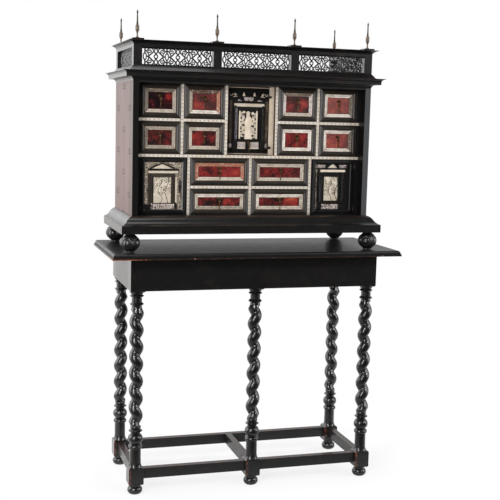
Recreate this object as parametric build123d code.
from build123d import *
import os
from dataclasses import dataclass
from math import cos, pi, sin

# Ebonised cabinet of drawers and small doors, faced with bone and tortoiseshell, on a stand
# with twist-turned legs.
#
# Frame: millimetres, +Z up, +X to the right of someone who faces the drawers, which face -Y.
# The origin is on the floor under the middle of the stand's top. The backs of the stand and
# of the cabinet are in one plane, because the piece stands against a wall.

# ---- Stand ---------------------------------------------------------------------------------
STAND_HEIGHT = 878.0
TOP_WIDTH = 1074.0
TOP_DEPTH = 440.0
TOP_THICKNESS = 20.0
TOP_LOWER_LAYER = 8.0        # plain lower edge of the top's moulding
TOP_STEP = 4.0               # how far the rounded upper edge is set in
APRON_WIDTH = 926.0
APRON_SETBACK = 59.0         # from the front edge of the top
APRON_HEIGHT = 118.0
APRON_THICKNESS = 20.0
LEG_BLOCK = 54.0             # square of the leg's blocks
LEG_BLOCK_DROP = 4.0         # how far the upper block hangs below the apron
LOW_BLOCK_HEIGHT = 64.0
BLOCK_CHAMFER = 4.0
BUN_DIAMETER = 54.0
BUN_HEIGHT = 28.0
BUN_SOLE_DIAMETER = 34.0
NECK_DIAMETER = 38.0
NECK_HEIGHT = 8.0
LOWER_TURNING_HEIGHT = 150.0
UPPER_TURNING_HEIGHT = 58.0
LEG_COLUMN_DIAMETER = 41.0   # plain cylinder below the twist
CAPITAL_DIAMETER = 36.0      # plain cylinder above the twist
RING_DIAMETER = 50.0
RING_EDGE = 3.0              # height of a sharp ring's edge
BEAD_DIAMETER = 54.0
ROPE_DIAMETER = 39.0         # the single round strand of the twist
ROPE_OFFSET = 6.0            # from the leg's axis to the strand's
ROPE_PITCH = 62.0
ROPE_RUN_OUT = 20.0          # length over which each end of the twist grows to its full size
ROPE_OUTLINE_STEPS = 24      # points on the outline of the twist's level section
STRETCHER_HEIGHT = 38.0
STRETCHER_THICKNESS = 24.0
STRETCHER_RISE = 20.0        # above the bottom of the low block

# ---- Cabinet case --------------------------------------------------------------------------
CABINET_SHIFT = -18.0        # the cabinet stands a little left of the stand's middle
CASE_WIDTH = 880.0
CASE_DEPTH = 360.0
CASE_HEIGHT = 561.0
CASE_BOARD = 21.0
BACK_THICKNESS = 12.0
BALL_DIAMETER = 72.0
BALL_HEIGHT = 65.0
BALL_NECK_DIAMETER = 34.0
BALL_SOLE_DIAMETER = 30.0
FRONT_BALL_INSET = 36.0      # from both outer faces of the plinth to the ball's axis
BACK_BALL_INSET = 38.0
BASE_PROJECTION = 42.0
BASE_HEIGHT = 60.0
PLINTH_HEIGHT = 28.0
CORNICE_HEIGHT = 34.0
CORNICE_PROJECTION = 40.0
CORNICE_FASCIA = 28.0        # projection of the fascia under the cornice's lip
CORNICE_COVE = 11.0          # projection of the small cove under the fascia

# ---- Nest of drawers -----------------------------------------------------------------------
FACADE_RECESS = 50.0         # from the front edges of the case to the bone strips
NEST_BOARD = 11.0
STRIP_THICKNESS = 1.5        # bone strips on the front edges of the nest
ROW_HEIGHTS = (93.0, 99.5, 115.0, 120.5)   # clear heights, from the floor of the nest up
PORTAL_WIDTH = 178.0         # clear width between the two middle uprights
INNER_CELL_WIDTH = 149.5     # drawers beside the portal
WIDE_CELL_WIDTH = 218.0      # wide drawers below the portal
FIT_GAP = 0.7                # round a drawer or a door in its cell

# ---- Drawers -------------------------------------------------------------------------------
FRONT_THICKNESS = 14.0
FRONT_SETBACK = 4.0          # from the bone strips to the face of the front board
MOULDING_WIDTH = 17.0        # black stepped moulding round a front
MOULDING_HEIGHT = 10.0
BEVEL_WIDTH = 14.0           # bone frame, which slopes down to the shell
BEVEL_HEIGHT = 7.0
BEVEL_LIP = 2.5
SHELL_THICKNESS = 2.0
DRAWER_SIDE = 8.0
DRAWER_BOTTOM = 5.0
DRAWER_HEADROOM = 8.0        # how much lower the sides are than the cell
DRAWER_BACK_GAP = 8.0        # from the drawer's back to the back of the case

# ---- Drop pulls ----------------------------------------------------------------------------
ROSETTE_DIAMETER = 10.0
ROSETTE_THICKNESS = 1.2
PULL_HEAD_GAPS = (5.4, 5.4, 10.0, 12.0)   # from the shell's upper edge to the pin, by row
PULL_STANDOFF = 9.0          # of the pin from the face behind it
PULL_PIN_DIAMETER = 1.6
PULL_PIN_CLEARANCE = 0.08    # radial
LUG_THICKNESS = 1.6
LUG_DIAMETER = 4.4
EYE_DIAMETER = 4.8
EYE_THICKNESS = 2.0
EYE_SIDE_GAP = 0.4
DROP_LENGTH = 42.0
DROP_DIAMETER = 9.0
DROP_STEM_DIAMETER = 2.8
DROP_BEAD_DIAMETER = 4.4

# ---- Doors ---------------------------------------------------------------------------------
DOOR_THICKNESS = 14.0
DOOR_FREE_GAP = 1.8          # at the free edge, so that its inner corner swings clear
DOOR_MOULDING_WIDTH = 12.0   # black moulding round the engraved ground of a lower door
DOOR_MOULDING_HEIGHT = 8.0
DOOR_MOULDING_MARGIN = 5.0   # from the leaf's edge to the moulding
GROUND_THICKNESS = 1.5       # bone ground inside the moulding
PLAQUE_RISE = 3.0            # of the parts of a temple front off the leaf
PILASTER_RISE = 5.0
PLINTH_RISE = 6.0
FRIEZE_RISE = 9.0
CORNICE_RISE = 11.0
CORNICE_BAND = 4.5           # height of the dark band over a frieze
PILASTER_WIDTH = 14.0
COLUMN_DIAMETER = 9.0
HINGE_DIAMETER = 6.0
HINGE_PIN_DIAMETER = 3.0
HINGE_CLEARANCE = 0.06       # radial
HINGE_KNUCKLE = 9.0          # length of one knuckle
HINGE_KNUCKLE_GAP = 0.4      # between the two knuckles of a hinge
HINGE_STRAP = 1.2
HINGE_STRAP_LENGTH = 4.4     # from the axis, on the leaf
HINGE_INSET = 3.8            # of the hinge axis from the edge of the leaf's cell
HINGE_END_OFFSET = 22.0      # of a hinge's middle from the end of the leaf
HINGE_MARGIN = 8.0           # from the leaf's hinged edge to the moulding
LOCK_WIDTH = 30.0
LOCK_HEIGHT = 40.0
LOCK_DEPTH = 9.0
ESCUTCHEON_WIDTH = 14.0
ESCUTCHEON_HEIGHT = 40.0
ESCUTCHEON_THICKNESS = 1.2
KEYHOLE_DIAMETER = 4.0
PORTAL_RECESS = 36.0         # of the middle door behind the bone strips
SURROUND_WIDTH = 12.0
SURROUND_RAIL = 9.0


@dataclass(frozen=True)
class TempleFront:
    """The parts of a small temple front, in widths and in heights above the floor of its cell."""

    plinth_width: float
    plinth_z: float
    plinth_top: float
    plaque_width: float
    plaque_z: float
    plaque_top: float
    frieze_width: float
    frieze_z: float
    frieze_top: float
    gable_width: float
    gable_z: float
    gable_top: float
    column_offset: float     # of a column or pilaster from the middle line


LEFT_FRONT = TempleFront(81, 18, 39, 64, 44, 135, 106, 152, 159, 92, 164, 185, 41)
RIGHT_FRONT = TempleFront(70, 21, 38, 64, 48, 142, 105, 158, 165, 58, 170, 185, 46)
PORTAL_FRONT = TempleFront(88, 19, 50, 74, 59, 158, 113, 177, 186, 124, 191, 208, 52)
OBELISK_OFFSET = 20.0
OBELISK_WIDTH = 8.0
OBELISK_HEIGHT = 20.0
TABLET_WIDTH = 35.0          # bone tablet between the halves of the broken pediment
TABLET_HEIGHT = 14.0
PEDIMENT_GAP = 44.0          # clear width between those halves

# ---- Gallery -------------------------------------------------------------------------------
GALLERY_PLINTH_HEIGHT = 17.0
GALLERY_PLINTH_FLARE = 14.0
FRET_HEIGHT = 61.0
FRET_THICKNESS = 5.0
FRET_STROKE = 3.4
FRET_PERIOD = 72.5
GALLERY_RAIL_HEIGHT = 24.0
GALLERY_RAIL_PROJECTION = 18.0
GALLERY_RAIL_SOFFIT = 13.0   # how far below the rail's lip its underside starts
POST_WIDTH = 30.0
POST_CAP_WIDTH = 41.0
POST_CAP_HEIGHT = 6.0
MIDDLE_POST_OFFSET = 143.0
FINIAL_HEIGHT = 96.0
FINIAL_BELLY_DIAMETER = 15.0

# ---- Places worked out from the sizes ------------------------------------------------------
BACK_Y = TOP_DEPTH / 2
APRON_FRONT_Y = -TOP_DEPTH / 2 + APRON_SETBACK
APRON_TOP_Z = STAND_HEIGHT - TOP_THICKNESS
APRON_BOTTOM_Z = APRON_TOP_Z - APRON_HEIGHT
LEG_X = APRON_WIDTH / 2 - LEG_BLOCK / 2
LEG_FRONT_Y = APRON_FRONT_Y + LEG_BLOCK / 2
LEG_BACK_Y = BACK_Y - LEG_BLOCK / 2
LOW_BLOCK_Z = BUN_HEIGHT + NECK_HEIGHT
STRETCHER_Z = LOW_BLOCK_Z + STRETCHER_RISE

CASE_FRONT_Y = BACK_Y - CASE_DEPTH
CASE_LEFT = CABINET_SHIFT - CASE_WIDTH / 2
CASE_RIGHT = CABINET_SHIFT + CASE_WIDTH / 2
CASE_Z = STAND_HEIGHT + BALL_HEIGHT
CASE_TOP_Z = CASE_Z + CASE_HEIGHT
FLOOR_Z = CASE_Z + BASE_HEIGHT
FACADE_Y = CASE_FRONT_Y + FACADE_RECESS
NEST_BACK_Y = BACK_Y - BACK_THICKNESS
NEST_LEFT = CASE_LEFT + CASE_BOARD
NEST_RIGHT = CASE_RIGHT - CASE_BOARD
NEST_WIDTH = NEST_RIGHT - NEST_LEFT
ROW_Z = tuple(FLOOR_Z + sum(ROW_HEIGHTS[:i]) + i * NEST_BOARD for i in range(len(ROW_HEIGHTS)))
NEST_TOP_Z = ROW_Z[-1] + ROW_HEIGHTS[-1]
OUTER_CELL_WIDTH = NEST_WIDTH / 2 - PORTAL_WIDTH / 2 - INNER_CELL_WIDTH - 3 * NEST_BOARD
DOOR_CELL_WIDTH = NEST_WIDTH / 2 - WIDE_CELL_WIDTH - 2.5 * NEST_BOARD
PORTAL_Y = FACADE_Y + PORTAL_RECESS
FRET_Z = CASE_TOP_Z + GALLERY_PLINTH_HEIGHT
RAIL_Z = FRET_Z + FRET_HEIGHT
RAIL_TOP_Z = RAIL_Z + GALLERY_RAIL_HEIGHT


@dataclass(frozen=True)
class Cell:
    """A clear rectangle of the facade, given by its middle line, bottom, width and height."""

    x: float
    z: float
    width: float
    height: float
    head_gap: float = 0.0    # from the upper edge of a drawer's shell to the pin of its pull

    @property
    def middle_z(self):
        return self.z + self.height / 2

    @property
    def bone_size(self):
        """Width and height of a drawer's bone frame."""
        border = 2 * FIT_GAP + 2 * MOULDING_WIDTH
        return self.width - border, self.height - border

    @property
    def pin_z(self):
        """Height of the pin of a drawer's pull."""
        return self.middle_z + self.bone_size[1] / 2 - BEVEL_WIDTH - self.head_gap


def slab(x0, x1, y0, y1, z0, z1):
    """A board with square edges between two corners."""
    return Pos((x0 + x1) / 2, (y0 + y1) / 2, (z0 + z1) / 2) * Box(x1 - x0, y1 - y0, z1 - z0)


def prism(points, y0, y1):
    """A solid with the outline `points` of (x, z) pairs, between two planes across Y."""
    outline = Face(Wire.make_polygon([(x, y0, z) for x, z in points]))
    return extrude(outline, amount=y1 - y0, dir=(0, 1, 0))


def rod(start, end, diameter):
    """A round bar from one point to another."""
    run = Vector(end) - Vector(start)
    return Solid.make_cylinder(diameter / 2, run.length, Plane(origin=start, z_dir=run))


class Turning:
    """The outline of a turned piece, followed upwards from its lower end."""

    def __init__(self, radius, z):
        self.start_z = z
        self.radius = radius
        self.z = z
        self.edges = [Edge.make_line((0, 0, z), (radius, 0, z))]

    def line(self, radius, z):
        """A straight or sloping side, or a flat shoulder."""
        self.edges.append(Edge.make_line((self.radius, 0, self.z), (radius, 0, z)))
        self.radius = radius
        self.z = z
        return self

    def bead(self, radius, z, swell):
        """A round side whose middle stands `swell` outside the straight line, or inside it."""
        middle = ((self.radius + radius) / 2 + swell, 0, (self.z + z) / 2)
        self.edges.append(Edge.make_three_point_arc((self.radius, 0, self.z), middle, (radius, 0, z)))
        self.radius = radius
        self.z = z
        return self

    def solid(self):
        """The finished turning."""
        top = Edge.make_line((self.radius, 0, self.z), (0, 0, self.z))
        axis = Edge.make_line((0, 0, self.z), (0, 0, self.start_z))
        return revolve(Face(Wire(self.edges + [top, axis])), Axis.Z, 360)


# ---- Stand ---------------------------------------------------------------------------------
def stand_top():
    """The top: a square lower edge and a rounded upper one, moulded on the front and the ends."""
    half = TOP_WIDTH / 2
    lower_z = STAND_HEIGHT - TOP_THICKNESS
    step_z = lower_z + TOP_LOWER_LAYER
    lower = slab(-half, half, -BACK_Y, BACK_Y, lower_z, step_z)
    upper = slab(-half + TOP_STEP, half - TOP_STEP, -BACK_Y + TOP_STEP, BACK_Y, step_z, STAND_HEIGHT)
    rounded = [edge for edge in upper.edges() if edge.center().Z > STAND_HEIGHT - 0.1
               and edge.center().Y < BACK_Y - 0.1]
    upper = fillet(rounded, (TOP_THICKNESS - TOP_LOWER_LAYER) * 0.75)
    return [lower + upper]


def square_block(height, chamfer_top):
    """A square block of the leg, standing on z = 0, with its outer corners chamfered."""
    block = Pos(0, 0, height / 2) * Box(LEG_BLOCK, LEG_BLOCK, height)
    ends = [0.0, height] if chamfer_top else [0.0]
    edges = [edge for edge in block.edges() if any(abs(edge.center().Z - end) < 0.01 for end in ends)]
    return chamfer(edges, BLOCK_CHAMFER)


def twist_outline():
    """The level section of a round strand that climbs round the leg's axis, as points.

    On a ray from the axis, the outline is as far out as the strand reaches at this height from
    any place along its helix.
    """
    radius = ROPE_DIAMETER / 2
    climb = ROPE_PITCH / (2 * pi)
    places = [radius / climb * step / ROPE_OUTLINE_STEPS
              for step in range(-ROPE_OUTLINE_STEPS, ROPE_OUTLINE_STEPS + 1)]
    points = []
    for step in range(ROPE_OUTLINE_STEPS):
        ray = 2 * pi * step / ROPE_OUTLINE_STEPS
        reach = 0.0
        for place in places:
            left = radius ** 2 - (climb * place) ** 2 - (ROPE_OFFSET * sin(ray - place)) ** 2
            if left > 0:
                reach = max(reach, ROPE_OFFSET * cos(ray - place) + left ** 0.5)
        points.append((reach * cos(ray), reach * sin(ray), 0))
    return points


def twist(length, right_handed, start):
    """A single strand wound round the leg's axis from the angle `start`, drawn in at both ends."""
    turns = length / ROPE_PITCH
    section = Face(Wire([Edge.make_spline(twist_outline(), periodic=True)]))
    angle = 360 * turns if right_handed else -360 * turns
    rope = Solid.extrude_linear_with_rotation(section, (0, 0, 0), (0, 0, length), angle)
    full = ROPE_DIAMETER / 2 + ROPE_OFFSET + 1
    drawn_in = ROPE_DIAMETER / 2 - 1
    envelope = Turning(drawn_in, 0)
    envelope.line(full, ROPE_RUN_OUT)
    envelope.line(full, length - ROPE_RUN_OUT)
    envelope.line(drawn_in, length)
    return Rot(0, 0, start) * rope & envelope.solid()


def sharp_ring(shape, neck, low, high):
    """Add a thin ring with a sharp edge, between two heights, to a turning."""
    ring = RING_DIAMETER / 2
    middle = (low + high) / 2
    edge = RING_EDGE / 2
    shape.line(neck, low)
    shape.line(ring - RING_EDGE / 2, middle - edge)
    shape.line(ring, middle)
    shape.line(ring - RING_EDGE / 2, middle + edge)
    shape.line(neck, high)


def lower_turning():
    """Flare, plain column, ring, ball, sharp ring and bead between the low block and the twist."""
    height = LOWER_TURNING_HEIGHT
    column = LEG_COLUMN_DIAMETER / 2
    ring = RING_DIAMETER / 2
    ball = BEAD_DIAMETER / 2
    neck = column - 4
    shape = Turning(ring, 0)
    shape.bead(column, height * 0.10, -1.0)
    shape.line(column - 0.5, height * 0.44)
    shape.bead(column - 0.5, height * 0.55, ring - column + 0.5)
    shape.line(neck, height * 0.57)
    shape.bead(neck, height * 0.81, ball - neck)
    sharp_ring(shape, neck, height * 0.84, height * 0.93)
    shape.bead(ROPE_DIAMETER / 2 - 1, height, 2.0)
    return shape.solid()


def upper_turning():
    """Neck, sharp ring, plain capital, sharp ring and bell between the twist and the upper block."""
    height = UPPER_TURNING_HEIGHT
    capital = CAPITAL_DIAMETER / 2
    ring = RING_DIAMETER / 2
    shape = Turning(ROPE_DIAMETER / 2 - 1, 0)
    sharp_ring(shape, capital, height * 0.12, height * 0.36)
    sharp_ring(shape, capital, height * 0.64, height * 0.84)
    shape.line(ring - 3, height * 0.88)
    shape.line(ring, height)
    return shape.solid()


def foot():
    """Bun foot and its neck, from the floor to the low block."""
    sole = BUN_SOLE_DIAMETER / 2
    neck = NECK_DIAMETER / 2
    bulge = BUN_DIAMETER / 2
    shape = Turning(sole, 0)
    shape.bead(neck, BUN_HEIGHT, bulge - (sole + neck) / 2)
    shape.line(neck, LOW_BLOCK_Z)
    return shape.solid()


def leg(x, y, right_handed, start):
    """One leg, turned and carved from a single length of wood; its twist starts at an angle."""
    turning_z = LOW_BLOCK_Z + LOW_BLOCK_HEIGHT
    twist_z = turning_z + LOWER_TURNING_HEIGHT
    block_z = APRON_BOTTOM_Z - LEG_BLOCK_DROP
    capital_z = block_z - UPPER_TURNING_HEIGHT
    shape = foot()
    shape += Pos(0, 0, LOW_BLOCK_Z) * square_block(LOW_BLOCK_HEIGHT, True)
    shape += Pos(0, 0, turning_z) * lower_turning()
    shape += Pos(0, 0, twist_z) * twist(capital_z - twist_z, right_handed, start)
    shape += Pos(0, 0, capital_z) * upper_turning()
    shape += Pos(0, 0, block_z) * square_block(APRON_TOP_Z - block_z, False)
    return [Pos(x, y, 0) * shape]


def stand_aprons():
    """Front rail in two lengths, back rail and side rails, flush with the outside of the legs."""
    half = LEG_BLOCK / 2
    front = (APRON_FRONT_Y, APRON_FRONT_Y + APRON_THICKNESS)
    back = (BACK_Y - APRON_THICKNESS, BACK_Y)
    heights = (APRON_BOTTOM_Z, APRON_TOP_Z)
    side_run = (LEG_FRONT_Y + half, LEG_BACK_Y - half)
    outside = APRON_WIDTH / 2
    return [
        slab(-LEG_X + half, -half, *front, *heights),
        slab(half, LEG_X - half, *front, *heights),
        slab(-LEG_X + half, LEG_X - half, *back, *heights),
        slab(-outside, -outside + APRON_THICKNESS, *side_run, *heights),
        slab(outside - APRON_THICKNESS, outside, *side_run, *heights),
    ]


def stand_stretchers():
    """Two front lengths, one back, two sides and one from the middle leg to the back one."""
    half = LEG_BLOCK / 2
    across = STRETCHER_THICKNESS / 2
    heights = (STRETCHER_Z, STRETCHER_Z + STRETCHER_HEIGHT)
    front = (LEG_FRONT_Y - across, LEG_FRONT_Y + across)
    back = (LEG_BACK_Y - across, LEG_BACK_Y + across)
    side_run = (LEG_FRONT_Y + half, LEG_BACK_Y - half)
    middle_run = (LEG_FRONT_Y + half, LEG_BACK_Y - across)
    return [
        slab(-LEG_X + half, -half, *front, *heights),
        slab(half, LEG_X - half, *front, *heights),
        slab(-LEG_X + half, LEG_X - half, *back, *heights),
        slab(-LEG_X - across, -LEG_X + across, *side_run, *heights),
        slab(LEG_X - across, LEG_X + across, *side_run, *heights),
        slab(-across, across, *middle_run, *heights),
    ]


# ---- Case ----------------------------------------------------------------------------------
def moulding(outline, z):
    """Three mitred lengths of a moulding round the front and the sides of the case.

    `outline` is a face in the plane Y = 0, where X is the projection and Z the height from `z`.
    """
    reach = outline.bounding_box().max.X
    tall = outline.bounding_box().max.Z
    far = CASE_WIDTH + 2 * reach
    section = Pos(0, 0, z) * outline
    side_run = extrude(Pos(CASE_RIGHT, BACK_Y, 0) * section, amount=CASE_DEPTH + reach, dir=(0, -1, 0))
    front_run = extrude(Pos(CASE_LEFT - reach, CASE_FRONT_Y, 0) * Rot(0, 0, -90) * section,
                        amount=far, dir=(1, 0, 0))

    def plan(points):
        return extrude(Face(Wire.make_polygon([(x, y, z) for x, y in points])), amount=tall,
                       dir=(0, 0, 1))

    front_y = CASE_FRONT_Y
    right_mitre = plan([(CASE_RIGHT, BACK_Y), (CASE_RIGHT + reach, BACK_Y),
                        (CASE_RIGHT + reach, front_y - reach), (CASE_RIGHT, front_y)])
    front_mitre = plan([(CASE_LEFT, front_y), (CASE_RIGHT, front_y),
                        (CASE_RIGHT + reach, front_y - reach), (CASE_LEFT - reach, front_y - reach)])
    right = side_run & right_mitre
    left = mirror(right, Plane(origin=(CABINET_SHIFT, 0, 0), z_dir=(1, 0, 0)))
    return [left, front_run & front_mitre, right]


def outline_face(*edges):
    """A face in the plane Y = 0 bounded by the edges, which follow each other."""
    return Face(Wire(list(edges)))


def at(projection, height):
    """A point of a moulding's outline."""
    return (projection, 0, height)


def base_moulding():
    """Upright plinth and an ogee that rises from it to the case."""
    reach = BASE_PROJECTION
    middle = at(reach / 2, (PLINTH_HEIGHT + BASE_HEIGHT) / 2)
    toe = at(reach, PLINTH_HEIGHT)
    heel = at(0, BASE_HEIGHT)
    hollow = Edge.make_three_point_arc(toe, at(reach * 0.72, PLINTH_HEIGHT + (BASE_HEIGHT - PLINTH_HEIGHT)
                                               * 0.18), middle)
    round_top = Edge.make_three_point_arc(middle, at(reach * 0.28, PLINTH_HEIGHT
                                                     + (BASE_HEIGHT - PLINTH_HEIGHT) * 0.82), heel)
    outline = outline_face(
        Edge.make_line(at(0, 0), at(reach, 0)),
        Edge.make_line(at(reach, 0), toe),
        hollow,
        round_top,
        Edge.make_line(heel, at(0, 0)),
    )
    return moulding(outline, CASE_Z)


def cornice():
    """Small cove, flat fascia and a hollow that spreads to a thin lip."""
    cove_top = CORNICE_HEIGHT * 0.36
    fascia_top = CORNICE_HEIGHT * 0.62
    lip = CORNICE_HEIGHT * 0.94
    cove_middle = at(CORNICE_COVE * 0.35, cove_top * 0.62)
    spread_middle = at(CORNICE_FASCIA + (CORNICE_PROJECTION - CORNICE_FASCIA) * 0.3,
                       fascia_top + (lip - fascia_top) * 0.7)
    outline = outline_face(
        Edge.make_three_point_arc(at(0, 0), cove_middle, at(CORNICE_COVE, cove_top)),
        Edge.make_line(at(CORNICE_COVE, cove_top), at(CORNICE_FASCIA, cove_top)),
        Edge.make_line(at(CORNICE_FASCIA, cove_top), at(CORNICE_FASCIA, fascia_top)),
        Edge.make_three_point_arc(at(CORNICE_FASCIA, fascia_top), spread_middle,
                                  at(CORNICE_PROJECTION, lip)),
        Edge.make_line(at(CORNICE_PROJECTION, lip), at(CORNICE_PROJECTION, CORNICE_HEIGHT)),
        Edge.make_line(at(CORNICE_PROJECTION, CORNICE_HEIGHT), at(0, CORNICE_HEIGHT)),
        Edge.make_line(at(0, CORNICE_HEIGHT), at(0, 0)),
    )
    return moulding(outline, CASE_TOP_Z - CORNICE_HEIGHT)


def case_sides():
    """The two sides, the full height and depth of the case."""
    return [
        slab(CASE_LEFT, NEST_LEFT, CASE_FRONT_Y, BACK_Y, CASE_Z, CASE_TOP_Z),
        slab(NEST_RIGHT, CASE_RIGHT, CASE_FRONT_Y, BACK_Y, CASE_Z, CASE_TOP_Z),
    ]


def case_boards():
    """Floor, top and the rail that hides the gap over the nest."""
    rail_top = CASE_TOP_Z - CASE_BOARD
    return [
        slab(NEST_LEFT, NEST_RIGHT, CASE_FRONT_Y, NEST_BACK_Y, FLOOR_Z - CASE_BOARD, FLOOR_Z),
        slab(NEST_LEFT, NEST_RIGHT, CASE_FRONT_Y, NEST_BACK_Y, rail_top, CASE_TOP_Z),
        slab(NEST_LEFT, NEST_RIGHT, CASE_FRONT_Y, CASE_FRONT_Y + CASE_BOARD, NEST_TOP_Z, rail_top),
    ]


def case_back():
    """Plain back board between the sides."""
    return [slab(NEST_LEFT, NEST_RIGHT, NEST_BACK_Y, BACK_Y, CASE_Z, CASE_TOP_Z)]


def ball_feet():
    """Four ball feet under the corners of the plinth."""
    neck = BALL_NECK_DIAMETER / 2
    sole = BALL_SOLE_DIAMETER / 2
    bulge = BALL_DIAMETER / 2
    shape = Turning(sole, 0)
    shape.bead(neck - 3, BALL_HEIGHT * 0.9, bulge - (sole + neck - 3) / 2)
    shape.line(neck, BALL_HEIGHT)
    ball = shape.solid()
    places = [(CASE_FRONT_Y - BASE_PROJECTION + FRONT_BALL_INSET, FRONT_BALL_INSET),
              (BACK_Y - BACK_BALL_INSET, BACK_BALL_INSET)]
    feet = []
    for y, inset in places:
        reach = CASE_WIDTH / 2 + BASE_PROJECTION - inset
        feet += [Pos(CABINET_SHIFT + side * reach, y, STAND_HEIGHT) * ball for side in (-1, 1)]
    return feet


# ---- Nest ----------------------------------------------------------------------------------
def upright_lines():
    """The middle lines of the uprights of the upper rows and of the lower rows."""
    portal = (PORTAL_WIDTH + NEST_BOARD) / 2
    outer = portal + INNER_CELL_WIDTH + NEST_BOARD
    wide = WIDE_CELL_WIDTH + NEST_BOARD
    upper = [CABINET_SHIFT + x for x in (-outer, -portal, portal, outer)]
    lower = [CABINET_SHIFT + x for x in (-wide, 0, wide)]
    return upper, lower


def nest_places():
    """Every board of the nest as a rectangle of the facade: x0, x1, z0, z1."""
    half = NEST_BOARD / 2
    upper, lower = upright_lines()
    shelf_top = ROW_Z[2]
    shelf = shelf_top - NEST_BOARD
    places = [
        (NEST_LEFT, NEST_LEFT + NEST_BOARD, FLOOR_Z, NEST_TOP_Z),
        (NEST_RIGHT - NEST_BOARD, NEST_RIGHT, FLOOR_Z, NEST_TOP_Z),
        (NEST_LEFT + NEST_BOARD, NEST_RIGHT - NEST_BOARD, shelf, shelf_top),
    ]
    places += [(x - half, x + half, shelf_top, NEST_TOP_Z) for x in upper]
    places += [(x - half, x + half, FLOOR_Z, shelf) for x in lower]
    upper_shelf = (ROW_Z[3] - NEST_BOARD, ROW_Z[3])
    lower_shelf = (ROW_Z[1] - NEST_BOARD, ROW_Z[1])
    left_end = NEST_LEFT + NEST_BOARD
    right_end = NEST_RIGHT - NEST_BOARD
    for start, end in ((left_end, upper[0] - half), (upper[0] + half, upper[1] - half),
                       (upper[2] + half, upper[3] - half), (upper[3] + half, right_end)):
        places.append((start, end, *upper_shelf))
    for start, end in ((lower[0] + half, lower[1] - half), (lower[1] + half, lower[2] - half)):
        places.append((start, end, *lower_shelf))
    return places


def surround_places():
    """The fixed frame round the middle door, as rectangles of the facade."""
    portal = portal_cell()
    left = portal.x - portal.width / 2
    right = portal.x + portal.width / 2
    top = portal.z + portal.height
    inner = (left + SURROUND_WIDTH, right - SURROUND_WIDTH)
    return [
        (left, inner[0], portal.z, top),
        (inner[1], right, portal.z, top),
        (*inner, portal.z, portal.z + SURROUND_RAIL),
        (*inner, top - SURROUND_RAIL, top),
    ]


def nest_boards():
    """Uprights, shelves, the board over them and the frame round the middle door."""
    boards = [slab(x0, x1, FACADE_Y, NEST_BACK_Y, z0, z1) for x0, x1, z0, z1 in nest_places()]
    boards.append(slab(NEST_LEFT, NEST_RIGHT, FACADE_Y, NEST_BACK_Y, NEST_TOP_Z,
                       NEST_TOP_Z + NEST_BOARD))
    boards += [slab(x0, x1, PORTAL_Y, PORTAL_Y + DOOR_THICKNESS, z0, z1)
               for x0, x1, z0, z1 in surround_places()]
    return boards


def strip_places():
    """Where bone strips lie: on all fronts of the nest but the two end uprights, which are black."""
    left_end = NEST_LEFT + NEST_BOARD
    right_end = NEST_RIGHT - NEST_BOARD
    places = []
    for x0, x1, z0, z1 in nest_places():
        if x1 > left_end and x0 < right_end:
            start = NEST_LEFT if x0 == left_end else x0
            end = NEST_RIGHT if x1 == right_end else x1
            places.append((start, end, z0, z1))
    return places


def bone_edging():
    """Bone strips on the front edges of the nest and on the frame round the middle door."""
    strips = [slab(x0, x1, FACADE_Y - STRIP_THICKNESS, FACADE_Y, z0, z1)
              for x0, x1, z0, z1 in strip_places()]
    strips += [slab(x0, x1, PORTAL_Y - STRIP_THICKNESS, PORTAL_Y, z0, z1)
               for x0, x1, z0, z1 in surround_places()]
    return strips


def portal_cell():
    """The niche of the middle door."""
    return Cell(CABINET_SHIFT, ROW_Z[2], PORTAL_WIDTH, NEST_TOP_Z - ROW_Z[2])


def door_cells():
    """The cells of the lower left and lower right doors."""
    reach = NEST_WIDTH / 2 - NEST_BOARD - DOOR_CELL_WIDTH / 2
    height = ROW_Z[2] - NEST_BOARD - FLOOR_Z
    return [Cell(CABINET_SHIFT + side * reach, FLOOR_Z, DOOR_CELL_WIDTH, height) for side in (-1, 1)]


def drawer_cells():
    """The twelve drawer cells, row by row from the top and from left to right."""
    outer = NEST_WIDTH / 2 - NEST_BOARD - OUTER_CELL_WIDTH / 2
    inner = PORTAL_WIDTH / 2 + NEST_BOARD + INNER_CELL_WIDTH / 2
    wide = (NEST_BOARD + WIDE_CELL_WIDTH) / 2
    cells = []
    for row in (3, 2):
        for x, width in ((-outer, OUTER_CELL_WIDTH), (-inner, INNER_CELL_WIDTH),
                         (inner, INNER_CELL_WIDTH), (outer, OUTER_CELL_WIDTH)):
            cells.append(Cell(CABINET_SHIFT + x, ROW_Z[row], width, ROW_HEIGHTS[row],
                              PULL_HEAD_GAPS[row]))
    for row in (1, 0):
        for x in (-wide, wide):
            cells.append(Cell(CABINET_SHIFT + x, ROW_Z[row], WIDE_CELL_WIDTH, ROW_HEIGHTS[row],
                              PULL_HEAD_GAPS[row]))
    return cells


# ---- Mitred frames and drop pulls ----------------------------------------------------------
def mitred_frame(x, z, width, height, face_y, section):
    """Four mitred lengths round a rectangle, standing off the face at `face_y`.

    `section` lists (distance in from the outer edge, height off the face) round the profile.
    """
    inward = max(distance for distance, _ in section)

    def length(run):
        half = run / 2
        profile = Face(Wire.make_polygon([(-half, -off, distance) for distance, off in section]))
        bar = extrude(profile, amount=run, dir=(1, 0, 0))
        tall = max(off for _, off in section)
        mitre = prism([(-half, 0), (half, 0), (half - inward, inward), (-half + inward, inward)],
                      -tall, 0)
        return bar & mitre

    lying = length(width)
    standing = length(height)
    return [
        Pos(x, face_y, z - height / 2) * lying,
        Pos(x, face_y, z + height / 2) * Rot(0, 180, 0) * lying,
        Pos(x - width / 2, face_y, z) * Rot(0, 90, 0) * standing,
        Pos(x + width / 2, face_y, z) * Rot(0, -90, 0) * standing,
    ]


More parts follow.
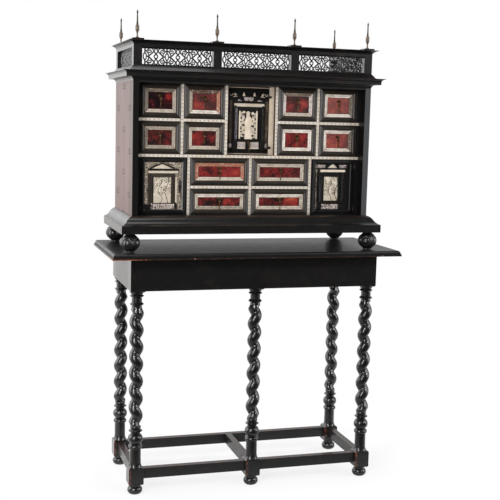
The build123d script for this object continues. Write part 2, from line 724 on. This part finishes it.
def pull_mount(x, face_y, z):
    """Rosette, two lugs and the pin of a drop pull, with the pin's middle at height `z`."""
    pin_y = face_y - PULL_STANDOFF
    lug_x = EYE_THICKNESS / 2 + EYE_SIDE_GAP + LUG_THICKNESS / 2
    mount = rod((x, face_y, z), (x, face_y - ROSETTE_THICKNESS, z), ROSETTE_DIAMETER)
    for side in (-1, 1):
        middle = x + side * lug_x
        edges = (middle - LUG_THICKNESS / 2, middle + LUG_THICKNESS / 2)
        mount += slab(*edges, pin_y, face_y - ROSETTE_THICKNESS / 2, z - LUG_DIAMETER / 2,
                      z + LUG_DIAMETER / 2)
        mount += rod((edges[0], pin_y, z), (edges[1], pin_y, z), LUG_DIAMETER)
    mount += rod((x - lug_x, pin_y, z), (x + lug_x, pin_y, z), PULL_PIN_DIAMETER)
    return mount


def drop(x, face_y, z):
    """The drop: an eye on the pin, a pear, a thin stem, a bead and a pointed tip."""
    pin_y = face_y - PULL_STANDOFF
    bore = PULL_PIN_DIAMETER + 2 * PULL_PIN_CLEARANCE
    half = EYE_THICKNESS / 2
    pear = DROP_DIAMETER / 2
    stem = DROP_STEM_DIAMETER / 2
    bead = DROP_BEAD_DIAMETER / 2
    neck = half * 0.8
    shape = Turning(stem * 0.4, -DROP_LENGTH)
    shape.line(stem, -DROP_LENGTH * 0.88)
    shape.bead(stem, -DROP_LENGTH * 0.79, bead - stem)
    shape.line(stem, -DROP_LENGTH * 0.5)
    shape.line(pear * 0.92, -DROP_LENGTH * 0.24)
    shape.bead(neck, -EYE_DIAMETER * 0.42, pear * 0.25)
    body = shape.solid()
    eye = rod((-half, 0, 0), (half, 0, 0), EYE_DIAMETER)
    hole = rod((-EYE_DIAMETER, 0, 0), (EYE_DIAMETER, 0, 0), bore)
    return [Pos(x, pin_y, z) * (eye + body - hole)]


# ---- Drawers -------------------------------------------------------------------------------
def front_face_y():
    """The face of a front board."""
    return FACADE_Y + FRONT_SETBACK


def drawer_box(cell):
    """Front board, two sides, back and bottom, with the black moulding on the front."""
    left = cell.x - cell.width / 2 + FIT_GAP
    right = cell.x + cell.width / 2 - FIT_GAP
    low = cell.z + FIT_GAP
    high = cell.z + cell.height - FIT_GAP
    front = front_face_y()
    inside = front + FRONT_THICKNESS
    back = NEST_BACK_Y - DRAWER_BACK_GAP
    rim = cell.z + cell.height - DRAWER_HEADROOM
    floor = low + DRAWER_BOTTOM
    inner_left = left + DRAWER_SIDE
    inner_right = right - DRAWER_SIDE
    pieces = [
        slab(left, right, front, inside, low, high),
        slab(left, inner_left, inside, back, low, rim),
        slab(inner_right, right, inside, back, low, rim),
        slab(inner_left, inner_right, back - DRAWER_SIDE, back, low, rim),
        slab(inner_left, inner_right, inside, back - DRAWER_SIDE, low, floor),
    ]
    section = [(0, 0), (0, MOULDING_HEIGHT * 0.6), (MOULDING_WIDTH * 0.35, MOULDING_HEIGHT * 0.6),
               (MOULDING_WIDTH * 0.35, MOULDING_HEIGHT), (MOULDING_WIDTH * 0.7, MOULDING_HEIGHT),
               (MOULDING_WIDTH, MOULDING_HEIGHT * 0.7), (MOULDING_WIDTH, 0)]
    pieces += mitred_frame(cell.x, cell.middle_z, right - left, high - low, front, section)
    return pieces


def drawer_facing(cell):
    """Bone frame, tortoiseshell panel and the mount of the drop pull."""
    front = front_face_y()
    width, height = cell.bone_size
    section = [(0, 0), (0, BEVEL_HEIGHT), (BEVEL_WIDTH, BEVEL_LIP), (BEVEL_WIDTH, 0)]
    pieces = mitred_frame(cell.x, cell.middle_z, width, height, front, section)
    half_width = width / 2 - BEVEL_WIDTH
    half_height = height / 2 - BEVEL_WIDTH
    pieces.append(slab(cell.x - half_width, cell.x + half_width, front - SHELL_THICKNESS, front,
                       cell.middle_z - half_height, cell.middle_z + half_height))
    pieces.append(pull_mount(cell.x, front - SHELL_THICKNESS, cell.pin_z))
    return pieces


def drawer_drop(cell):
    """The drop pull of a drawer."""
    return drop(cell.x, front_face_y() - SHELL_THICKNESS, cell.pin_z)


# ---- Doors ---------------------------------------------------------------------------------
@dataclass(frozen=True)
class Door:
    """A door leaf: its opening, the plane of its face and the side of its hinges."""

    cell: Cell
    face_y: float
    hinge_side: int

    @property
    def hinge_edge(self):
        return self.cell.x + self.hinge_side * self.cell.width / 2

    @property
    def axis_x(self):
        return self.hinge_edge - self.hinge_side * HINGE_INSET

    @property
    def axis_y(self):
        return self.face_y - HINGE_DIAMETER / 2

    @property
    def leaf_x(self):
        """The leaf's two edges, from left to right."""
        hinge = self.hinge_edge - self.hinge_side * FIT_GAP
        free = self.cell.x - self.hinge_side * (self.cell.width / 2 - DOOR_FREE_GAP)
        return tuple(sorted((hinge, free)))

    @property
    def leaf_z(self):
        return (self.cell.z + FIT_GAP, self.cell.z + self.cell.height - FIT_GAP)

    @property
    def hinge_heights(self):
        return (self.leaf_z[0] + HINGE_END_OFFSET, self.leaf_z[1] - HINGE_END_OFFSET)


def doors():
    """The left, middle and right doors."""
    left, right = door_cells()
    portal = portal_cell()
    opening = Cell(portal.x, portal.z + SURROUND_RAIL, portal.width - 2 * SURROUND_WIDTH,
                   portal.height - 2 * SURROUND_RAIL)
    return [Door(left, FACADE_Y, -1), Door(opening, PORTAL_Y, 1), Door(right, FACADE_Y, 1)]


def fixed_hinge(door, z):
    """Lower knuckle with its pin and the strap that fixes it beside the door."""
    axis = (door.axis_x, door.axis_y)
    knuckle = rod((*axis, z - HINGE_KNUCKLE), (*axis, z), HINGE_DIAMETER)
    pin = rod((*axis, z - HINGE_KNUCKLE / 2), (*axis, z + HINGE_KNUCKLE * 0.9), HINGE_PIN_DIAMETER)
    outer = door.hinge_edge + door.hinge_side * NEST_BOARD * 0.8
    ends = sorted((door.axis_x, outer))
    front = door.face_y - STRIP_THICKNESS
    strap = slab(*ends, front - HINGE_STRAP, front, z - HINGE_KNUCKLE, z)
    return knuckle + pin + strap


def leaf_hinge(door, z):
    """Upper knuckle with its bore and the strap that fixes it to the leaf."""
    axis = (door.axis_x, door.axis_y)
    low = z + HINGE_KNUCKLE_GAP
    high = z + HINGE_KNUCKLE
    knuckle = rod((*axis, low), (*axis, high), HINGE_DIAMETER)
    inner = door.axis_x - door.hinge_side * HINGE_STRAP_LENGTH
    ends = sorted((door.axis_x, inner))
    strap = slab(*ends, door.face_y - HINGE_STRAP, door.face_y, low, high)
    bore = rod((*axis, z - 1), (*axis, z + HINGE_KNUCKLE * 0.9 + 1),
               HINGE_PIN_DIAMETER + 2 * HINGE_CLEARANCE)
    return knuckle + strap - bore


def door_hinges():
    """The fixed halves of the six hinges."""
    return [fixed_hinge(door, z) for door in doors() for z in door.hinge_heights]


def leaf(door):
    """The leaf and the moving halves of its hinges."""
    board = slab(*door.leaf_x, door.face_y, door.face_y + DOOR_THICKNESS, *door.leaf_z)
    return [board] + [leaf_hinge(door, z) for z in door.hinge_heights]


def lock(door):
    """The lock on the back of a leaf and the escutcheon on its face, at the free edge."""
    free = door.leaf_x[0] if door.hinge_side > 0 else door.leaf_x[1]
    inward = door.hinge_side
    middle = door.cell.middle_z
    box_x = sorted((free + inward * DOOR_FREE_GAP, free + inward * (DOOR_FREE_GAP + LOCK_WIDTH)))
    plate = free + inward * (DOOR_MOULDING_MARGIN + DOOR_MOULDING_WIDTH + ESCUTCHEON_WIDTH / 2)
    inside = door.face_y + DOOR_THICKNESS
    case = slab(*box_x, inside, inside + LOCK_DEPTH, middle - LOCK_HEIGHT / 2, middle + LOCK_HEIGHT / 2)
    outside = door.face_y - GROUND_THICKNESS
    escutcheon = slab(plate - ESCUTCHEON_WIDTH / 2, plate + ESCUTCHEON_WIDTH / 2,
                      outside - ESCUTCHEON_THICKNESS, outside,
                      middle - ESCUTCHEON_HEIGHT / 2, middle + ESCUTCHEON_HEIGHT / 2)
    keyhole = rod((plate, door.face_y - LOCK_DEPTH, middle), (plate, door.face_y + 1, middle),
                  KEYHOLE_DIAMETER)
    return [case, escutcheon - keyhole]


def moulded_ground(door):
    """The black moulding on a lower door and the bone ground inside it."""
    cell = door.cell
    low = door.leaf_z[0] + DOOR_MOULDING_MARGIN
    high = door.leaf_z[1] - DOOR_MOULDING_MARGIN
    hinge = door.leaf_x[1] if door.hinge_side > 0 else door.leaf_x[0]
    free = door.leaf_x[0] if door.hinge_side > 0 else door.leaf_x[1]
    ends = sorted((hinge - door.hinge_side * HINGE_MARGIN, free + door.hinge_side * DOOR_MOULDING_MARGIN))
    x = sum(ends) / 2
    width = ends[1] - ends[0]
    top = DOOR_MOULDING_HEIGHT
    section = [(0, 0), (0, top * 0.6), (DOOR_MOULDING_WIDTH * 0.35, top), (DOOR_MOULDING_WIDTH * 0.65, top),
               (DOOR_MOULDING_WIDTH, top * 0.5), (DOOR_MOULDING_WIDTH, 0)]
    pieces = mitred_frame(x, cell.middle_z, width, high - low, door.face_y, section)
    half = width / 2 - DOOR_MOULDING_WIDTH
    pieces.append(slab(x - half, x + half, door.face_y - GROUND_THICKNESS, door.face_y,
                       low + DOOR_MOULDING_WIDTH, high - DOOR_MOULDING_WIDTH))
    return pieces


def block(x, width, z0, z1, face_y, rise):
    """A raised part of a temple front, centred on `x`, standing `rise` off the face."""
    return slab(x - width / 2, x + width / 2, face_y - rise, face_y, z0, z1)


def temple_front(x, floor_z, face_y, front, columns):
    """Plinth, pilasters or columns, plaque, entablature and cornice, standing off the ground."""
    plaque = (floor_z + front.plaque_z, floor_z + front.plaque_top)
    plinth_top = floor_z + front.plinth_top
    frieze = (floor_z + front.frieze_z, floor_z + front.frieze_top)
    pieces = [
        block(x, front.plinth_width, floor_z + front.plinth_z, plinth_top, face_y, PLINTH_RISE),
        block(x, front.plaque_width, *plaque, face_y, PLAQUE_RISE),
        block(x, front.frieze_width, *frieze, face_y, FRIEZE_RISE),
        block(x, front.frieze_width + CORNICE_BAND, frieze[1], frieze[1] + CORNICE_BAND, face_y,
              CORNICE_RISE),
    ]
    pieces.append(block(x, front.plaque_width, plaque[1], frieze[0], face_y, PILASTER_RISE))
    pieces.append(block(x, front.plaque_width, plinth_top, plaque[0], face_y, PILASTER_RISE))
    for side in (-1, 1):
        column_x = x + side * front.column_offset
        pieces.append(block(column_x, PILASTER_WIDTH, plinth_top, frieze[0], face_y, PLAQUE_RISE))
        if columns:
            axis = (column_x, face_y - PLAQUE_RISE - COLUMN_DIAMETER / 2)
            pieces.append(rod((*axis, plinth_top), (*axis, frieze[0]), COLUMN_DIAMETER))
            pieces.append(block(column_x, PILASTER_WIDTH, floor_z + front.plinth_z, plinth_top, face_y,
                                CORNICE_RISE))
    return pieces


def side_door(door, front, columns):
    """A lower door: leaf, lock, moulded ground and a temple front with a whole pediment."""
    x = door.cell.x
    face = door.face_y - GROUND_THICKNESS
    floor_z = door.cell.z
    pieces = leaf(door) + lock(door) + moulded_ground(door)
    pieces += temple_front(x, floor_z, face, front, columns)
    base = floor_z + front.gable_z
    half = front.gable_width / 2
    pieces.append(prism([(x - half, base), (x + half, base), (x, floor_z + front.gable_top)],
                        face - PLINTH_RISE, face))
    return pieces


def middle_door(door):
    """The portal: leaf, temple front with a broken pediment, tablet, obelisks and pull mount."""
    x = door.cell.x
    face = door.face_y
    floor_z = portal_cell().z
    front = PORTAL_FRONT
    pieces = leaf(door) + temple_front(x, floor_z, face, front, True)
    base = floor_z + front.gable_z
    top = floor_z + front.gable_top
    half = front.gable_width / 2
    gap = PEDIMENT_GAP / 2
    for side in (-1, 1):
        pieces.append(prism([(x + side * half, base), (x + side * gap, base), (x + side * gap, top)],
                            face - PLINTH_RISE, face))
        obelisk_x = x + side * OBELISK_OFFSET
        foot = top + GROUND_THICKNESS
        pieces.append(prism([(obelisk_x - OBELISK_WIDTH / 2, foot), (obelisk_x + OBELISK_WIDTH / 2, foot),
                             (obelisk_x, foot + OBELISK_HEIGHT)], face - PLAQUE_RISE, face))
    pieces.append(block(x, TABLET_WIDTH, top - TABLET_HEIGHT, top, face, PILASTER_RISE))
    pieces.append(pull_mount(x, face - PLINTH_RISE, middle_pull_z()))
    return pieces


def middle_pull_z():
    """The height of the pin of the middle door's pull, on its plinth."""
    return portal_cell().z + PORTAL_FRONT.plinth_top - ROSETTE_DIAMETER / 2


# ---- Gallery -------------------------------------------------------------------------------
def gallery_lines():
    """The places of the posts: x of the corners, y of the front and of the back."""
    reach = CASE_WIDTH / 2 - POST_WIDTH / 2
    return reach, CASE_FRONT_Y + POST_WIDTH / 2, BACK_Y - POST_WIDTH / 2


def post_places():
    """Four posts along the front and two at the back corners."""
    reach, front, back = gallery_lines()
    offsets = (-reach, -MIDDLE_POST_OFFSET, MIDDLE_POST_OFFSET, reach)
    places = [(CABINET_SHIFT + x, front) for x in offsets]
    return places + [(CABINET_SHIFT + side * reach, back) for side in (-1, 1)]


def rail_outline(projection, soffit, height):
    """A moulding on the outside of the post line: a lip at the top and a hollow below it."""
    middle = at(projection * 0.3, height - soffit * 0.55)
    return outline_face(
        Edge.make_line(at(-POST_WIDTH, 0), at(0, 0)),
        Edge.make_line(at(0, 0), at(0, height - soffit)),
        Edge.make_three_point_arc(at(0, height - soffit), middle, at(projection, height - 2)),
        Edge.make_line(at(projection, height - 2), at(projection, height)),
        Edge.make_line(at(projection, height), at(-POST_WIDTH, height)),
        Edge.make_line(at(-POST_WIDTH, height), at(-POST_WIDTH, 0)),
    )


def plinth_outline(flare, height):
    """The plinth of the gallery: upright above and spreading to its foot."""
    return outline_face(
        Edge.make_line(at(-POST_WIDTH, 0), at(flare, 0)),
        Edge.make_line(at(flare, 0), at(0, height)),
        Edge.make_line(at(0, height), at(-POST_WIDTH, height)),
        Edge.make_line(at(-POST_WIDTH, height), at(-POST_WIDTH, 0)),
    )


def gallery_run(outline, z):
    """Three mitred lengths whose section reaches inwards under or over the posts."""
    reach = outline.bounding_box().max.X
    tall = outline.bounding_box().max.Z
    inner = POST_WIDTH
    section = Pos(0, 0, z) * outline
    side_run = extrude(Pos(CASE_RIGHT, BACK_Y, 0) * section, amount=CASE_DEPTH + reach, dir=(0, -1, 0))
    front_run = extrude(Pos(CASE_LEFT - reach, CASE_FRONT_Y, 0) * Rot(0, 0, -90) * section,
                        amount=CASE_WIDTH + 2 * reach, dir=(1, 0, 0))

    def plan(points):
        return extrude(Face(Wire.make_polygon([(x, y, z) for x, y in points])), amount=tall,
                       dir=(0, 0, 1))

    y = CASE_FRONT_Y
    right_plan = plan([(CASE_RIGHT - inner, BACK_Y), (CASE_RIGHT + reach, BACK_Y),
                       (CASE_RIGHT + reach, y - reach), (CASE_RIGHT - inner, y + inner)])
    front_plan = plan([(CASE_LEFT + inner, y + inner), (CASE_RIGHT - inner, y + inner),
                       (CASE_RIGHT + reach, y - reach), (CASE_LEFT - reach, y - reach)])
    right = side_run & right_plan
    left = mirror(right, Plane(origin=(CABINET_SHIFT, 0, 0), z_dir=(1, 0, 0)))
    return [left, front_run & front_plan, right]


def gallery_frame():
    """Plinth, posts, moulded rail and post caps on the front and the two sides."""
    pieces = gallery_run(plinth_outline(GALLERY_PLINTH_FLARE, GALLERY_PLINTH_HEIGHT), CASE_TOP_Z)
    pieces += gallery_run(rail_outline(GALLERY_RAIL_PROJECTION, GALLERY_RAIL_SOFFIT,
                                       GALLERY_RAIL_HEIGHT), RAIL_Z)
    half = POST_WIDTH / 2
    cap = POST_CAP_WIDTH / 2
    for x, y in post_places():
        pieces.append(slab(x - half, x + half, y - half, y + half, FRET_Z, RAIL_Z))
        cap_back = min(y + cap, BACK_Y)
        pieces.append(slab(x - cap, x + cap, y - cap, cap_back, RAIL_TOP_Z,
                           RAIL_TOP_Z + POST_CAP_HEIGHT))
    return pieces


def ring(x, z, half_width, half_height):
    """A flat elliptical ring in the plane of a fret."""
    stroke = FRET_STROKE / 2
    outer = Ellipse(half_width + stroke, half_height + stroke)
    hole = Ellipse(half_width - stroke, half_height - stroke)
    return Pos(x, z) * (outer - hole)


def stroke(x0, z0, x1, z1):
    """A straight flat bar between two points in the plane of a fret."""
    run = Vector(x1 - x0, z1 - z0)
    angle = Vector(1, 0).get_signed_angle(run)
    return Pos((x0 + x1) / 2, (z0 + z1) / 2) * Rot(0, 0, angle) * Rectangle(run.length, FRET_STROKE)


def fret(length):
    """A pierced panel lying in the XY plane, with its middle at the origin.

    Pointed ovals with an inner ring alternate with lozenges round a small ring.
    """
    high = FRET_HEIGHT / 2
    periods = max(1, round(length / FRET_PERIOD * 2)) / 2
    step = length / periods / 2
    border = Rectangle(length, FRET_HEIGHT) - Rectangle(length - 2 * FRET_STROKE,
                                                        FRET_HEIGHT - 2 * FRET_STROKE)
    pattern = border
    count = int(periods * 2)
    for index in range(count):
        x = -length / 2 + step * (index + 0.5)
        if index % 2 == 0:
            pattern += ring(x, 0, step * 0.16, high * 0.34)
            pattern += ring(x, 0, step * 0.34, high * 0.62)
            pattern += stroke(x, high * 0.62, x, high)
            pattern += stroke(x, -high * 0.62, x, -high)
            pattern += stroke(x - step * 0.34, 0, x - step * 0.16, 0)
            pattern += stroke(x + step * 0.16, 0, x + step * 0.34, 0)
        else:
            pattern += ring(x, 0, step * 0.15, high * 0.2)
            for side in (-1, 1):
                for up in (-1, 1):
                    pattern += stroke(x, up * high * 0.8, x + side * step * 0.62, 0)
                    pattern += stroke(x, up * high * 0.8, x + side * step * 0.2, up * high)
        if index < count - 1:
            for up in (-1, 1):
                pattern += stroke(x + step * 0.34, 0, x + step * 0.62, up * high * 0.55)
                pattern += stroke(x + step * 0.62, up * high * 0.55, x + step * 0.4, up * high)
    clip = Rectangle(length, FRET_HEIGHT)
    return extrude(pattern & clip, amount=FRET_THICKNESS / 2, both=True)


def gallery_frets():
    """Three pierced panels in the front and one in each side, midway in the posts' thickness."""
    reach, front, back = gallery_lines()
    half = POST_WIDTH / 2
    middle_z = FRET_Z + FRET_HEIGHT / 2
    outer_run = (MIDDLE_POST_OFFSET + half, reach - half)
    outer = fret(outer_run[1] - outer_run[0])
    middle = fret(2 * (MIDDLE_POST_OFFSET - half))
    side = fret(back - front - POST_WIDTH)
    upright = Rot(90, 0, 0)
    outer_x = sum(outer_run) / 2
    panels = [Pos(CABINET_SHIFT + x, front, middle_z) * upright * panel
              for x, panel in ((-outer_x, outer), (0, middle), (outer_x, outer))]
    panels += [Pos(CABINET_SHIFT + x, (front + back) / 2, middle_z) * Rot(0, 0, 90) * upright * side
               for x in (-reach, reach)]
    return panels


def finials():
    """A slender turned finial on each post."""
    height = FINIAL_HEIGHT
    belly = FINIAL_BELLY_DIAMETER / 2
    stem = belly * 0.42
    shape = Turning(belly * 0.85, 0)
    shape.line(belly * 0.85, height * 0.03)
    shape.bead(stem, height * 0.08, -1.0)
    shape.line(stem * 1.1, height * 0.24)
    shape.line(belly * 0.9, height * 0.27)
    shape.bead(belly * 0.9, height * 0.50, belly * 0.1)
    shape.bead(stem * 1.1, height * 0.57, -0.6)
    shape.line(stem * 0.75, height * 0.89)
    shape.bead(stem * 0.5, height, stem * 0.9)
    turned = shape.solid()
    cap_top = RAIL_TOP_Z + POST_CAP_HEIGHT
    return [Pos(x, y, cap_top) * turned for x, y in post_places()]


# ---- Assembly ------------------------------------------------------------------------------
def nodes():
    """Every node's name with its solids."""
    left, middle, right = doors()
    parts = {
        "stand_top": stand_top(),
        "leg_front_left": leg(-LEG_X, LEG_FRONT_Y, False, 208),
        "leg_front_middle": leg(0, LEG_FRONT_Y, True, 256),
        "leg_front_right": leg(LEG_X, LEG_FRONT_Y, True, 232),
        "leg_back_left": leg(-LEG_X, LEG_BACK_Y, True, 71),
        "leg_back_right": leg(LEG_X, LEG_BACK_Y, False, 239),
        "stand_aprons": stand_aprons(),
        "stand_stretchers": stand_stretchers(),
        "ball_feet": ball_feet(),
        "base_moulding": base_moulding(),
        "case_sides": case_sides(),
        "case_boards": case_boards(),
        "case_back": case_back(),
        "nest_boards": nest_boards(),
        "bone_edging": bone_edging(),
        "cornice": cornice(),
        "gallery_frame": gallery_frame(),
        "gallery_frets": gallery_frets(),
        "finials": finials(),
        "door_hinges": door_hinges(),
        "door_left": side_door(left, LEFT_FRONT, False),
        "door_centre": middle_door(middle),
        "door_right": side_door(right, RIGHT_FRONT, True),
        "door_centre_drop": drop(middle.cell.x, middle.face_y - PLINTH_RISE, middle_pull_z()),
    }
    for number, cell in enumerate(drawer_cells(), start=1):
        parts[f"drawer_{number:02d}_box"] = drawer_box(cell)
        parts[f"drawer_{number:02d}_facing"] = drawer_facing(cell)
        parts[f"drawer_{number:02d}_drop"] = drawer_drop(cell)
    return parts


def main():
    """Write one STEP file for each node."""
    os.makedirs("parts", exist_ok=True)
    for name, solids in nodes().items():
        pieces = [solid for shape in solids for solid in shape.solids()]
        export_step(Compound(pieces), f"parts/{name}.step")


main()
